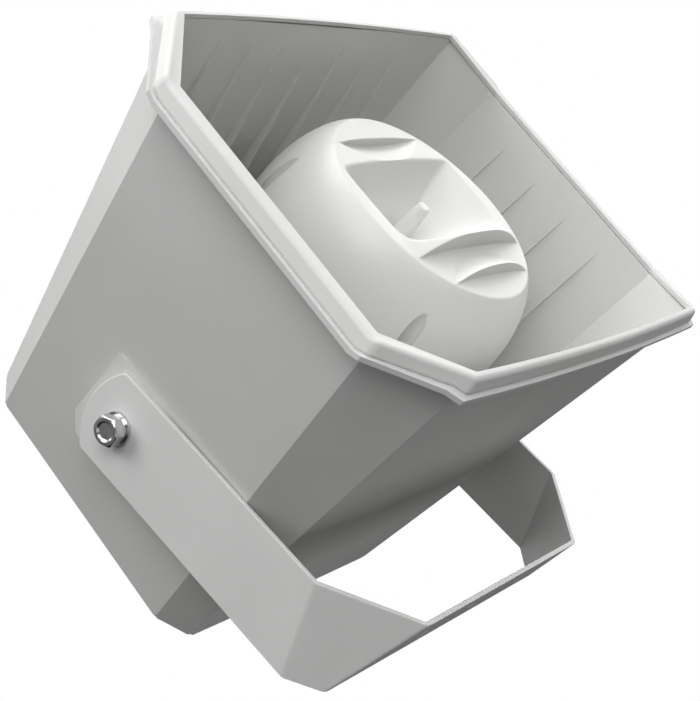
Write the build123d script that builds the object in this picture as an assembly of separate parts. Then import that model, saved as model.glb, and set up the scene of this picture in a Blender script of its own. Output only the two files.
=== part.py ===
from build123d import *
from math import atan, cos, degrees, hypot, radians, sin, sqrt
import os

os.makedirs("parts", exist_ok=True)

# Two-way outdoor horn loudspeaker on a folded steel bracket. Sizes are in millimetres.
# The horn is drawn about its own axis: x across, y up, z out of the mouth, with the origin at
# the middle of the mouth. It is then turned and hung in the bracket, which stands on z = 0.

# Housing
mouth_half_width = 175.0
mouth_half_height = 124.0
mouth_corner_x = 29.5
mouth_corner_y = 41.0
lip_reach = 13.0
lip_bow = 3.4
body_depth = 275.0
back_half_width = 114.5
back_half_height = 103.7
back_corner_x = 16.0
back_corner_y = 20.0
wall = 3.0

# Front frame and the flange that it sits on
frame_side_lap = 8.0
frame_long_lap = 4.4
frame_band = 10.0
frame_side_flare = 3.0
frame_long_flare = 2.1
frame_skin = 2.2
frame_plate = 3.0
frame_corner_lap = 8.3
flange_step = 2.0
flange_thickness = 3.0

# Ribs inside the walls
long_ribs = 7
long_rib_pitch = 32.7
side_ribs = 4
side_rib_pitch = 33.0
long_rib_start = 4.0
side_rib_start = 12.0
rib_thickness = 2.0
rib_slope = 0.075

# Pivot and bracket
pivot_behind_mouth = 186.0
pivot_height = 187.0
pivot_setback = 44.5
horn_tilt = 6.5
bolt_diameter = 10.0
bolt_hole = 10.6
bolt_length = 29.0
bolt_head_flats = 17.0
bolt_head_height = 6.4
flat_washer_diameter = 20.0
flat_washer_thickness = 2.0
spring_washer_diameter = 17.0
spring_washer_thickness = 2.6
insert_diameter = 14.0
insert_length = 22.0
boss_diameter = 24.0
sheet = 3.0
arm_width = 59.0
arm_end_radius = 45.0
arm_end_reach = 25.5
front_bend_drop = 149.0
rear_bend_drop = 166.0
base_front_half = 96.2
base_depth = 60.6
arm_corner_radius = 4.0
bend_radius = 2.0
base_hole = 9.0
base_hole_pitch = 60.0
pad_half = 30.0
pad_corner = 10.0
pad_rise = 2.4
pad_gap = 0.3

# Baffle and rear cover
baffle_depth = 146.0
baffle_thickness = 4.0
baffle_ledge = 8.0
baffle_opening = 68.0
cover_recess = 1.0
cover_thickness = 3.5
cover_ledge = 7.0
gasket_thickness = 1.0
screw_diameter = 4.0
screw_head_diameter = 8.0
screw_head_height = 2.4
fit_gap = 0.3

# Centre dome
dome_face_depth = 13.8
dome_face_radius = 72.5
dome_edge_round = 2.5
dome_radius = 90.9
dome_split_depth = 76.0
dome_wall = 3.0
dome_nose_depth = 126.0
flute_radius = 5.0
flute_axis_radius = 86.5
flute_tip_depth = 28.0
horn_half_width = 61.5
horn_top = 35.5
horn_top_bow = 3.0
throat_half_width = 8.0
throat_half_height = 4.0
throat_depth = 40.0
ridge_edge = 34.0
ridge_height = 15.0
lower_ridge_edge = 55.0
lower_ridge_height = 10.0
lower_ridge_half = 44.5
scoop_edge = 55.5
scoop_depth = 7.5
scoop_half = 45.0
scoop_run = 16.0
lower_ridge_run = 18.0
cap_rim = 8.0
carrier_radius = 88.0
carrier_thickness = 4.0
leg_width = 9.0
dome_screw_length = 20.0

# High-frequency driver, held by screws in bosses that stand in the small horn
hf_radius = 36.5
hf_boss_x = 30.5
hf_boss_y = 9.5
hf_boss_radius = 4.5
hf_boss_top = 17.0
hf_screw_drop = 31.5
hf_adapter_thickness = 5.2
hf_plate_thickness = 4.0
hf_magnet_radius = 20.0
hf_magnet_thickness = 10.0
hf_coil_radius = 12.7

# Woofer
woofer_frame_radius = 82.0
woofer_flange = 3.0
woofer_cone_radius = 60.0
woofer_coil_radius = 15.8
woofer_cone_height = 22.0
woofer_magnet_radius = 45.0
woofer_magnet_thickness = 15.0
woofer_plate_thickness = 5.0
woofer_pole_radius = 14.2
woofer_gasket_thickness = 1.5
woofer_seat = 42.0

# Electrics
core_width = 50.0
core_height = 42.0
core_thickness = 18.0
core_leg = 14.0
core_window = 10.0
core_yoke = 8.0
winding_depth = 32.0
post_height = 8.0
post_radius = 4.0
transformer_x = 68.0
board_width = 62.0
board_height = 52.0
board_thickness = 1.6
board_post_height = 5.0
capacitor_radius = 7.0
capacitor_length = 26.0
terminal_width = 33.0
terminal_rise = 40.0
gland_diameter = 20.0
gland_length = 24.0
gland_flats = 24.0
gland_bore = 8.0
gland_drop = 62.0

reach = 400.0


def inset_octagon(half_x, half_y, corner_x, corner_y, bow, inset):
    """Eight-sided face with cut corners, its two long edges bowed outwards, drawn in by inset."""
    slant = hypot(corner_x, corner_y)
    leg_x = corner_x + inset * ((slant - corner_x) / corner_y - 1)
    leg_y = corner_y + inset * ((slant - corner_y) / corner_x - 1)
    x = half_x - inset
    y = half_y - inset
    corners = [(x, leg_y - y), (x, y - leg_y), (x - leg_x, y), (leg_x - x, y)]
    corners += [(-x, y - leg_y), (-x, leg_y - y), (leg_x - x, -y), (x - leg_x, -y)]
    edges = []
    for start, end in zip(corners, corners[1:] + corners[:1]):
        if abs(start[1]) == y and abs(end[1]) == y:
            middle = (0, start[1] + (bow if start[1] > 0 else -bow))
            edges.append(ThreePointArc(start, middle, end))
        else:
            edges.append(Line(start, end))
    return Face(Wire(edges))


def blend(front, back, z):
    """Value of a size at height z, straight from the lip plane to the back."""
    share = (lip_reach - z) / (lip_reach + body_depth)
    return front + (back - front) * share


def skin_sizes(z):
    """Half sizes, corner legs and bow of the housing's outer skin at height z."""
    side_growth = (mouth_half_width + wall - 0.5 - back_half_width) / body_depth * lip_reach
    half_x = blend(mouth_half_width + wall - 0.5 + side_growth, back_half_width, z)
    half_y = blend(mouth_half_height + wall, back_half_height, z)
    corner_x = blend(mouth_corner_x, back_corner_x, z)
    corner_y = blend(mouth_corner_y, back_corner_y, z)
    return half_x, half_y, corner_x, corner_y, blend(lip_bow, 0.4, z)


def skin_face(z, inset):
    return Pos(0, 0, z) * inset_octagon(*skin_sizes(z), inset)


def skin_solid(inset, z_top, z_bottom):
    return loft([skin_face(z_top, inset), skin_face(z_bottom, inset)], ruled=True)


def lip_slab(drop):
    """Everything behind the mouth's stepped front, moved back by drop."""
    straight = mouth_half_height - mouth_corner_y
    top = lip_reach - drop
    side = Polyline(
        (-reach, top), (-mouth_half_height, top), (-straight, -drop), (straight, -drop),
        (mouth_half_height, top), (reach, top), (reach, -reach), (-reach, -reach), close=True)
    return extrude(Plane.YZ * make_face(side), amount=reach, both=True)


def disc(radius, z_low, z_high, x=0.0, y=0.0):
    return Pos(x, y, z_low) * Cylinder(radius, z_high - z_low, align=(Align.CENTER, Align.CENTER, Align.MIN))


def ring(outer, inner, z_low, z_high, x=0.0, y=0.0):
    return disc(outer, z_low, z_high, x, y) - disc(inner, z_low - 1, z_high + 1, x, y)


def across(radius, x_low, x_high, y, z):
    """Round bar along x."""
    bar = Cylinder(radius, x_high - x_low, align=(Align.CENTER, Align.CENTER, Align.MIN))
    return Pos(x_low, y, z) * Rot(0, 90, 0) * bar


def both_sides(shape):
    return [shape, mirror(shape, about=Plane.YZ)]


def turned(*points):
    """Solid of revolution about z from radius and height pairs."""
    outline = make_face(Polyline(*[(radius, 0, z) for radius, z in points], close=True))
    return revolve(outline, Axis.Z)


def circle_points(count, radius, first=0.0):
    step = 360 / count
    angles = [radians(first + step * index) for index in range(count)]
    return [(radius * cos(angle), radius * sin(angle)) for angle in angles]


def screw(x, y, z_head, length, upwards):
    """Pan-head screw along z, its head on the side that upwards points away from."""
    way = 1 if upwards else -1
    tip = z_head + way * length
    shank = disc(screw_diameter / 2, min(z_head, tip), max(z_head, tip), x, y)
    head_far = z_head - way * screw_head_height
    head = disc(screw_head_diameter / 2, min(z_head, head_far), max(z_head, head_far), x, y)
    return shank + head


# Housing: one moulded skin with its ribs, mouth flange, pivot pads, bosses and ledges

frame_bottom_half_x = mouth_half_width + frame_side_lap + frame_side_flare
frame_bottom_half_y = mouth_half_height + frame_long_lap + frame_long_flare
pivot_z = -pivot_behind_mouth
pad_face = skin_sizes(pivot_z + pad_half)[0] + pad_rise
arm_inner = pad_face + pad_gap
cover_front = -body_depth + cover_recess + cover_thickness
ledge_back = cover_front + gasket_thickness
boss_top = ledge_back + 20.0


def inner_half_width(z):
    return skin_sizes(z)[0] - wall


def inner_half_height(x, z):
    half_x, half_y, corner_x, _, bow = skin_sizes(z)
    share = x / (half_x - corner_x)
    return half_y + bow * (1 - share * share) - wall


def long_rib(x):
    """Fin on the upper wall that grows from nothing at the mouth."""
    start = long_rib_start
    low = -baffle_depth
    height = rib_slope * (start - low)
    outline = Polyline(
        (inner_half_height(x, start) + 0.5, start), (inner_half_height(x, low) + 1, low),
        (inner_half_height(x, low) - height, low), close=True)
    return extrude(Plane.YZ.offset(x - rib_thickness / 2) * make_face(outline), amount=rib_thickness)


def side_rib(y):
    start = -side_rib_start
    low = -baffle_depth
    height = rib_slope * (start - low)
    outline = Polyline(
        (inner_half_width(start) + 0.5, start), (inner_half_width(low) + 1, low),
        (inner_half_width(low) - height, low), close=True)
    return extrude(Plane.XZ.offset(-y - rib_thickness / 2) * make_face(outline), amount=rib_thickness)


def pivot_pad():
    """Flat pad, square to the pivot, that evens out the wall's taper, with a boss behind it."""
    low = pivot_z - pad_half
    high = pivot_z + pad_half
    outline = Polyline(
        (-pad_half, high), (pad_half, high), (pad_half, low + pad_corner), (pad_half - pad_corner, low),
        (pad_corner - pad_half, low), (-pad_half, low + pad_corner), close=True)
    block = extrude(Plane.YZ.offset(pad_face - 30) * make_face(outline), amount=30)
    boss = across(boss_diameter / 2, pad_face - insert_length - wall, pad_face, 0, pivot_z)
    return block, boss


def corner_points(z, inset):
    """Middles of the four cut corners of the skin at height z, drawn in by inset."""
    half_x, half_y, corner_x, corner_y, _ = skin_sizes(z)
    slant = hypot(corner_x, corner_y)
    x = half_x - corner_x / 2 - inset * corner_y / slant
    y = half_y - corner_y / 2 - inset * corner_x / slant
    return [(x, y), (x, -y), (-x, -y), (-x, y)]


cover_screw_points = corner_points(-body_depth, wall + 9.0)
cover_screw_points += [(0, back_half_height - 12.0), (0, 12.0 - back_half_height)]
baffle_screw_points = corner_points(-baffle_depth, wall + 6.0)
baffle_screw_points += [(0, inner_half_height(0, -baffle_depth) - 5.0)]
baffle_screw_points += [(0, 5.0 - inner_half_height(0, -baffle_depth))]


def make_horn_shell():
    outer = skin_solid(0, lip_reach + 2, -body_depth)
    inner = skin_solid(wall, lip_reach + 4, -body_depth - 2)
    shell = (outer - inner) & lip_slab(frame_plate + fit_gap)
    shell -= lip_slab(0) - lip_slab(frame_band) - frame_solid(frame_skin + fit_gap)
    _, _, corner_x, corner_y = frame_sizes(lip_reach / 2 - frame_band)
    flange_face = inset_octagon(
        frame_bottom_half_x, frame_bottom_half_y, corner_x, corner_y, lip_bow, -flange_step)
    flange = extrude(flange_face, amount=reach, both=True)
    flange = (flange & lip_slab(frame_band)) - lip_slab(frame_band + flange_thickness) - inner
    shell += flange
    for index in range(long_ribs):
        rib = long_rib((index - (long_ribs - 1) / 2) * long_rib_pitch)
        shell += rib
        shell += mirror(rib, about=Plane.XZ)
    for index in range(side_ribs):
        rib = side_rib((index - (side_ribs - 1) / 2) * side_rib_pitch)
        for fin in both_sides(rib):
            shell += fin
    block, boss = pivot_pad()
    for pad, hub in zip(both_sides(block - inner), both_sides(boss)):
        shell += pad
        shell += hub
    ledge = skin_solid(wall - 0.2, -baffle_depth + 3.5, -baffle_depth)
    shell += ledge - skin_solid(wall + baffle_ledge, -baffle_depth + 5, -baffle_depth - 1)
    rear_ledge = skin_solid(wall - 0.2, ledge_back + 3.0, ledge_back)
    shell += rear_ledge - skin_solid(wall + cover_ledge, ledge_back + 4, ledge_back - 1)
    bound = skin_solid(wall - 0.5, boss_top + 1, ledge_back)
    for x, y in cover_screw_points:
        shell += disc(6.0, ledge_back, boss_top, x, y) & bound
        shell -= disc(screw_diameter / 2 + 0.1, ledge_back - 1, boss_top - 2, x, y)
    for x, y in baffle_screw_points:
        shell += disc(5.0, -baffle_depth, -baffle_depth + 14, x, y)
        shell -= disc(screw_diameter / 2 + 0.1, -baffle_depth - 1, -baffle_depth + 12, x, y)
    for side in (-1, 1):
        low = min(side * (pad_face - insert_length), side * (pad_face + 1))
        high = max(side * (pad_face - insert_length), side * (pad_face + 1))
        shell -= across(insert_diameter / 2, low, high, 0, pivot_z)
    return shell


def frame_sizes(z):
    """Half sizes and corner legs of the front frame's band at height z; its corners have a draft too."""
    half_x = mouth_half_width + frame_side_lap - frame_side_flare / frame_band * z
    half_y = mouth_half_height + frame_long_lap + frame_long_flare / frame_band * (lip_reach - z)
    slant = hypot(mouth_corner_x, mouth_corner_y)
    normal_x = mouth_corner_y / slant
    normal_y = mouth_corner_x / slant
    corner_reach = normal_x * mouth_half_width + normal_y * (mouth_half_height - mouth_corner_y)
    corner_reach += frame_corner_lap + frame_side_flare / frame_band * (lip_reach / 2 - z)
    corner_x = half_x - (corner_reach - normal_y * half_y) / normal_x
    corner_y = half_y - (corner_reach - normal_x * half_x) / normal_y
    return half_x, half_y, corner_x, corner_y


def frame_section(z, inset):
    return Pos(0, 0, z) * inset_octagon(*frame_sizes(z), lip_bow, inset)


def frame_solid(inset):
    low = -frame_band - flange_thickness - 1
    high = lip_reach + 2
    return loft([frame_section(high + inset, inset), frame_section(low - inset, inset)], ruled=True)


def make_front_frame():
    """Rim: a front plate and a band that hooks over the flange, following the lip."""
    mouth = inset_octagon(
        mouth_half_width, mouth_half_height, mouth_corner_x, mouth_corner_y, lip_bow, 0)
    frame = (frame_solid(0) & lip_slab(0)) - lip_slab(frame_band)
    frame -= frame_solid(frame_skin) & lip_slab(frame_plate)
    frame -= extrude(mouth, amount=reach, both=True)
    return frame


def rectangle_points(x, half_x, half_y):
    return [(x + way_x * half_x, way_y * half_y) for way_x in (-1, 1) for way_y in (-1, 1)]


transformer_screw_points = rectangle_points(
    transformer_x, core_width / 2 - core_yoke / 2, core_height / 2 - core_yoke / 2)
board_post_points = rectangle_points(-transformer_x, board_width / 2 - 5, board_height / 2 - 5)


def make_rear_cover():
    plate = extrude(skin_face(-body_depth + cover_recess, wall + fit_gap), amount=cover_thickness)
    plate += disc(gland_diameter / 2 + 5, cover_front, cover_front + 3, 0, -gland_drop)
    plate -= disc(gland_diameter / 2 - 2, -body_depth - 5, cover_front + 5, 0, -gland_drop)
    for x, y in transformer_screw_points:
        plate += disc(post_radius, cover_front - 0.5, cover_front + post_height, x, y)
        plate -= disc(screw_diameter / 2 + 0.05, cover_front, cover_front + post_height + 1, x, y)
    for x, y in board_post_points:
        plate += disc(post_radius, cover_front - 0.5, cover_front + board_post_height, x, y)
        plate -= disc(screw_diameter / 2 + 0.05, cover_front, cover_front + board_post_height + 1, x, y)
    for x, y in cover_screw_points:
        plate -= disc(screw_diameter / 2 + 0.3, -body_depth - 5, cover_front + 5, x, y)
    return plate


def make_rear_gasket():
    gasket = extrude(skin_face(cover_front, wall + fit_gap), amount=gasket_thickness)
    gasket -= extrude(skin_face(cover_front - 1, wall + cover_ledge), amount=gasket_thickness + 2)
    for x, y in cover_screw_points:
        gasket -= disc(screw_diameter / 2 + 0.3, cover_front - 1, cover_front + 3, x, y)
    return gasket


def make_rear_cover_screws():
    head = -body_depth + cover_recess
    return [screw(x, y, head, cover_thickness + gasket_thickness + 12, True) for x, y in cover_screw_points]


baffle_back = -baffle_depth - baffle_thickness
woofer_screw_points = circle_points(8, woofer_frame_radius - 5, 22.5)
carrier_screw_points = circle_points(4, carrier_radius - 5)


def make_baffle():
    plate = extrude(skin_face(baffle_back, wall + fit_gap), amount=baffle_thickness)
    plate -= disc(baffle_opening, baffle_back - 1, -baffle_depth + 1)
    for x, y in baffle_screw_points:
        plate -= disc(screw_diameter / 2 + 0.3, baffle_back - 1, -baffle_depth + 1, x, y)
    for x, y in woofer_screw_points + carrier_screw_points:
        plate -= disc(screw_diameter / 2 + 0.05, baffle_back - 1, -baffle_depth + 1, x, y)
    return plate


def make_baffle_screws():
    return [screw(x, y, baffle_back, baffle_thickness + 10, True) for x, y in baffle_screw_points]


def make_carrier_screws():
    head = -baffle_depth + carrier_thickness
    return [screw(x, y, head, carrier_thickness + baffle_thickness - 0.5, False)
            for x, y in carrier_screw_points]


# Centre dome

face_z = -dome_face_depth
split_z = -dome_split_depth
dome_profile = [(85.6, -35.0), (88.8, -46.6), (90.5, -60.0)]
cap_floor = split_z - cap_rim
leg_top = cap_floor - fit_gap


def arched_bar(half, height, edge, slope, up):
    """Leaning round bar whose crest stands height proud of the face (or sunk in it) at edge."""
    radius = (half * half + height * height) / (2 * height)
    lean = atan(slope)
    way = 1 if up else -1
    bar = Rot(90 - degrees(lean), 0, 0) * Cylinder(radius, 4 * reach)
    return Pos(0, edge, face_z + way * (height - radius / cos(lean))) * bar


def ridge(half, height, edge, run, slope):
    """Scale-shaped ridge: a steep lower side at y = -edge and an arched top that runs on upwards."""
    room = Box(4 * half, run, 2 * height + 1, align=(Align.CENTER, Align.MIN, Align.MIN))
    bar = arched_bar(half, height, -edge, slope, True)
    flat = disc(dome_face_radius - dome_edge_round, face_z - 2, reach)
    return bar & (Pos(0, -edge, face_z - 1) * room) & flat


def mouth_section(half_x, up, down, bow, round_x, round_y, z):
    """Section of the small horn: upper edge bowed, lower corners swept into the sides."""
    bulge_x = half_x - round_x * 0.293
    bulge_y = round_y * 0.293 - down
    edges = [
        Line((-half_x, up), (-half_x, round_y - down)),
        ThreePointArc((-half_x, round_y - down), (-bulge_x, bulge_y), (round_x - half_x, -down)),
        Line((round_x - half_x, -down), (half_x - round_x, -down)),
        ThreePointArc((half_x - round_x, -down), (bulge_x, bulge_y), (half_x, round_y - down)),
        Line((half_x, round_y - down), (half_x, up)),
        ThreePointArc((half_x, up), (0, up + bow), (-half_x, up))]
    return Pos(0, 0, z) * Face(Wire(edges))


def small_horn(growth):
    """Flared mouth of the small horn, from its throat to above the face; growth thickens it."""
    low = face_z - throat_depth
    high = face_z + ridge_height + 4
    rise = (high - face_z) / throat_depth
    far_x = horn_half_width + (horn_half_width - throat_half_width) * rise
    far_up = horn_top + (horn_top - throat_half_height) * rise
    far_down = ridge_edge + 0.5 + (ridge_edge - throat_half_height) * 4 / (throat_depth + ridge_height)
    near = mouth_section(throat_half_width + growth, throat_half_height + growth,
                         throat_half_height + growth, 0.3, 3.0, 3.0, low)
    far = mouth_section(far_x + growth, far_up + growth, far_down + growth, horn_top_bow * (1 + rise),
                        far_x * 0.45, far_down * 0.8, high)
    return loft([near, far], ruled=True)


def clear_of_columns(room):
    """Room inside the dome less the four columns that the screw flutes run down."""
    for x, y in circle_points(4, flute_axis_radius, 45.0):
        room -= disc(flute_radius + dome_wall, -reach, 0, x, y)
    return room


def dome_hollow():
    skin = [(radius - dome_wall, z) for radius, z in reversed(dome_profile)]
    room = turned((0, split_z - 1), (dome_radius - dome_wall, split_z - 1), *skin,
                  (dome_face_radius - 5, face_z - dome_wall), (0, face_z - dome_wall))
    backing = Box(2 * scoop_half + 4, scoop_run + dome_wall, 2 * (scoop_depth + dome_wall))
    room -= Pos(0, scoop_edge + dome_wall - (scoop_run + dome_wall) / 2, face_z) * backing
    return clear_of_columns(room)


def make_dome():
    side = Spline((dome_face_radius, 0, face_z), *[(radius, 0, z) for radius, z in dome_profile],
                  (dome_radius, 0, split_z))
    closing = Polyline((dome_radius, 0, split_z), (0, 0, split_z), (0, 0, face_z),
                       (dome_face_radius, 0, face_z))
    dome = revolve(make_face(Wire([side] + closing.edges())), Axis.Z)
    dome = fillet(dome.edges().group_by(Axis.Z)[-1], dome_edge_round)
    dome += ridge(horn_half_width, ridge_height, ridge_edge, ridge_edge, 0.06)
    dome += ridge(lower_ridge_half, lower_ridge_height, lower_ridge_edge, lower_ridge_run,
                  lower_ridge_height / lower_ridge_run)
    room = Pos(0, scoop_edge, face_z) * Box(
        4 * scoop_half, 40, 60, align=(Align.CENTER, Align.MAX, Align.CENTER))
    dome -= arched_bar(scoop_half, scoop_depth, scoop_edge, scoop_depth / scoop_run, False) & room
    for x, y in circle_points(4, flute_axis_radius, 45.0):
        dome -= disc(flute_radius, split_z - 1, -flute_tip_depth - flute_radius, x, y)
        dome -= Pos(x, y, -flute_tip_depth - flute_radius) * Sphere(flute_radius)
    seat = disc(hf_radius, hf_front, hf_front + dome_wall + 4)
    dome -= dome_hollow() - small_horn(dome_wall) - seat
    dome -= small_horn(0)
    boss_shoulder = face_z - hf_boss_top - hf_boss_radius
    for x, y in hf_boss_points:
        dome += disc(hf_boss_radius, hf_front, boss_shoulder, x, y)
        dome += Pos(x, y, boss_shoulder) * Sphere(hf_boss_radius)
    dome -= disc(throat_half_width - 1, hf_front - 1, hf_front + dome_wall + 2)
    for x, y in hf_screw_points:
        dome -= disc(screw_diameter / 2 + 0.05, hf_front - 1, hf_front + 6, x, y)
    return dome


hf_front = face_z - throat_depth - dome_wall
hf_boss_points = [(-hf_boss_x, hf_boss_y), (hf_boss_x, hf_boss_y)]
hf_screw_points = hf_boss_points + [(0, -hf_screw_drop)]


def cap_outline(skin):
    return [(dome_radius - skin, split_z), (dome_radius - skin, cap_floor), (70.0 - skin, split_z - 26),
            (40.0 - skin, split_z - 42), (0, skin - dome_nose_depth)]


def make_dome_rear_cap():
    """Cone behind the dome that spreads the woofer's sound round it."""
    cap = turned((0, split_z), *cap_outline(0))
    inner = dome_radius - dome_wall
    cap -= clear_of_columns(turned(
        (0, split_z + 1), (inner, split_z + 1), (inner, cap_floor + 1), (66.0, split_z - 23.5),
        (37.0, split_z - 38.5), (0, 4 - dome_nose_depth)))
    for x, y in circle_points(4, flute_axis_radius, 45.0):
        cap -= disc(flute_radius, cap_floor + 4, split_z + 1, x, y)
        cap -= disc(screw_diameter / 2 + 0.3, cap_floor - 20, split_z + 1, x, y)
    return cap


def make_dome_carrier():
    """Ring on the baffle with four legs that carry the dome and take its screws."""
    carrier = ring(carrier_radius, baffle_opening, -baffle_depth, -baffle_depth + carrier_thickness)
    for angle in (45, 135, 225, 315):
        leg = Pos(flute_axis_radius - 2, 0, -baffle_depth) * Box(
            17, leg_width, baffle_depth + leg_top, align=(Align.CENTER, Align.CENTER, Align.MIN))
        carrier += Rot(0, 0, angle) * leg
    carrier -= turned((0, split_z), *cap_outline(-fit_gap))
    for x, y in circle_points(4, flute_axis_radius, 45.0):
        carrier -= disc(screw_diameter / 2 + 0.05, leg_top - dome_screw_length, leg_top + 5, x, y)
    for x, y in carrier_screw_points:
        carrier -= disc(screw_diameter / 2 + 0.3, -baffle_depth - 1, -baffle_depth + 8, x, y)
    return carrier


def make_dome_screws():
    return [screw(x, y, cap_floor + 4, dome_screw_length, False)
            for x, y in circle_points(4, flute_axis_radius, 45.0)]


# High-frequency driver: adapter, diaphragm and coil, and the magnet behind them

hf_cavity = hf_front - hf_adapter_thickness
hf_plate_front = hf_cavity - 0.3
hf_plate_back = hf_plate_front - hf_plate_thickness
hf_magnet_back = hf_plate_back - hf_magnet_thickness
hf_diaphragm_back = hf_cavity + 0.4


def make_hf_adapter():
    adapter = disc(hf_radius, hf_cavity, hf_front)
    adapter -= disc(throat_half_width - 1, hf_cavity - 1, hf_front + 1)
    adapter -= disc(hf_coil_radius + 4.5, hf_cavity - 1, hf_front - 1.6)
    for x, y in hf_screw_points:
        adapter -= disc(screw_diameter / 2 + 0.3, hf_cavity - 1, hf_front + 1, x, y)
    return adapter


def make_hf_screws():
    return [screw(x, y, hf_cavity, hf_adapter_thickness + 5, True) for x, y in hf_screw_points]


def make_hf_top_plate():
    return ring(hf_magnet_radius, hf_coil_radius + 0.9, hf_plate_back, hf_plate_front)


def make_hf_magnet():
    return ring(hf_magnet_radius, hf_coil_radius + 3, hf_magnet_back, hf_plate_back)


def make_hf_yoke():
    plate = disc(hf_magnet_radius, hf_magnet_back - hf_plate_thickness, hf_magnet_back)
    return plate + disc(hf_coil_radius - 0.9, hf_magnet_back - 1, hf_plate_front - 1)


def dome_shell(radius, rise, z, skin):
    """Thin domed sheet of the given radius that stands on height z and rises towards the mouth."""
    curve = (radius * radius + rise * rise) / (2 * rise)
    centre = z + rise - curve
    shell = Pos(0, 0, centre) * Sphere(curve) - Pos(0, 0, centre) * Sphere(curve - skin)
    return shell & disc(radius, z, z + rise + 1)


def make_hf_diaphragm():
    return dome_shell(hf_coil_radius + 0.4, 1.7, hf_diaphragm_back, 0.5)


def make_hf_surround():
    """Thin roll that carries the diaphragm, its edge clamped under the adapter."""
    inner = hf_coil_radius + 0.45
    base = hf_diaphragm_back
    return turned((hf_magnet_radius, hf_plate_front), (hf_magnet_radius, hf_cavity), (inner + 3.5, hf_cavity),
                  (inner + 2.8, base + 0.4), (inner + 1.4, base + 0.9), (inner, base + 0.4), (inner, base),
                  (inner + 1.4, base + 0.5), (inner + 2.5, base), (inner + 3.1, hf_plate_front))


def make_hf_voice_coil():
    return ring(hf_coil_radius + 0.4, hf_coil_radius - 0.4, hf_plate_back, hf_diaphragm_back)


# Woofer: basket, magnet and the moving cone, coil and dust cap

flange_front = baffle_back - woofer_gasket_thickness
flange_back = flange_front - woofer_flange
plate_front = baffle_back - woofer_seat
plate_back = plate_front - woofer_plate_thickness
magnet_back = plate_back - woofer_magnet_thickness
cone_edge_z = flange_back + 1.0
neck_z = cone_edge_z - woofer_cone_height
surround_radius = woofer_frame_radius - 15.0
spider_z = neck_z - 7.0


def make_woofer_gasket():
    gasket = ring(woofer_frame_radius, surround_radius + 1.5, flange_front, baffle_back)
    for x, y in woofer_screw_points:
        gasket -= disc(screw_diameter / 2 + 0.2, flange_front - 1, baffle_back + 1, x, y)
    return gasket


def make_woofer_basket():
    """Pressed frame: flange, six arms round the cone and the plate that the magnet is riveted to."""
    outline = Polyline(
        (surround_radius, 0, flange_front), (woofer_frame_radius, 0, flange_front),
        (woofer_frame_radius, 0, flange_back), (surround_radius + 4, 0, flange_back),
        (44.0, 0, plate_front + 2), (44.0, 0, plate_front), (woofer_coil_radius + 4, 0, plate_front),
        (woofer_coil_radius + 4, 0, plate_front + 2), (41.5, 0, plate_front + 2),
        (41.5, 0, spider_z - 2), (47.0, 0, spider_z - 2), (surround_radius, 0, flange_back), close=True)
    basket = revolve(make_face(outline), Axis.Z)
    window = Box(40, 28, flange_back - spider_z - 6, align=(Align.MIN, Align.CENTER, Align.MIN))
    for angle in range(0, 360, 60):
        basket -= Rot(0, 0, angle) * Pos(48.5, 0, spider_z + 1) * window
    for x, y in woofer_screw_points:
        basket -= disc(screw_diameter / 2 + 0.2, flange_back - 1, flange_front + 1, x, y)
    return basket


def make_woofer_screws():
    length = woofer_flange + woofer_gasket_thickness + baffle_thickness - 0.5
    return [screw(x, y, flange_back, length, True) for x, y in woofer_screw_points]


def make_woofer_top_plate():
    return ring(woofer_magnet_radius, woofer_coil_radius + 1.4, plate_back, plate_front)


def make_woofer_magnet():
    return ring(woofer_magnet_radius, woofer_coil_radius + 9, magnet_back, plate_back)


def make_woofer_yoke():
    plate = disc(woofer_magnet_radius, magnet_back - woofer_plate_thickness, magnet_back)
    return plate + disc(woofer_pole_radius, magnet_back - 1, plate_front)


def make_woofer_voice_coil():
    return ring(woofer_coil_radius + 0.6, woofer_coil_radius - 0.8, plate_back - 4, neck_z)


def make_woofer_cone():
    inner = woofer_coil_radius - 0.8
    return turned((inner, neck_z), (inner + 2.5, neck_z), (woofer_cone_radius, cone_edge_z - 1.2),
                  (woofer_cone_radius + 1, cone_edge_z - 1.2), (woofer_cone_radius + 1, cone_edge_z),
                  (woofer_cone_radius - 0.5, cone_edge_z), (inner + 1.5, neck_z + 1.2), (inner, neck_z + 1.2))


def make_woofer_dust_cap():
    share = 1.5 / (woofer_cone_radius - woofer_coil_radius)
    base = neck_z + 1.2 + woofer_cone_height * share
    return dome_shell(woofer_coil_radius + 1.0, 6.0, base, 0.8)


def make_woofer_surround():
    """Half-roll of rubber from the cone's edge to the flange."""
    inner = woofer_cone_radius + 1.05
    outer = surround_radius - 0.05
    middle = (inner + outer) / 2
    height = (outer - inner) / 2
    base = cone_edge_z
    wire = [ThreePointArc((inner, 0, base), (middle, 0, base + height), (outer, 0, base)),
            Line((outer, 0, base), (outer - 1, 0, base)),
            ThreePointArc((outer - 1, 0, base), (middle, 0, base + height - 1), (inner + 1, 0, base)),
            Line((inner + 1, 0, base), (inner, 0, base))]
    return revolve(make_face(Wire(wire)), Axis.Z)


def make_woofer_spider():
    """Corrugated cloth disc that centres the coil."""
    inner = woofer_coil_radius + 0.9
    outer = 41.3
    waves = 5
    step = (outer - inner) / (2 * waves)
    upper = [(inner + index * step, 0, spider_z + 0.9 * (index % 2)) for index in range(2 * waves + 1)]
    lower = [(x, 0, z - 0.7) for x, _, z in reversed(upper)]
    return revolve(make_face(Polyline(*upper, *lower, close=True)), Axis.Z)


# Electrics on the inner side of the rear cover

core_back = cover_front + post_height
board_back = cover_front + board_post_height


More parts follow.
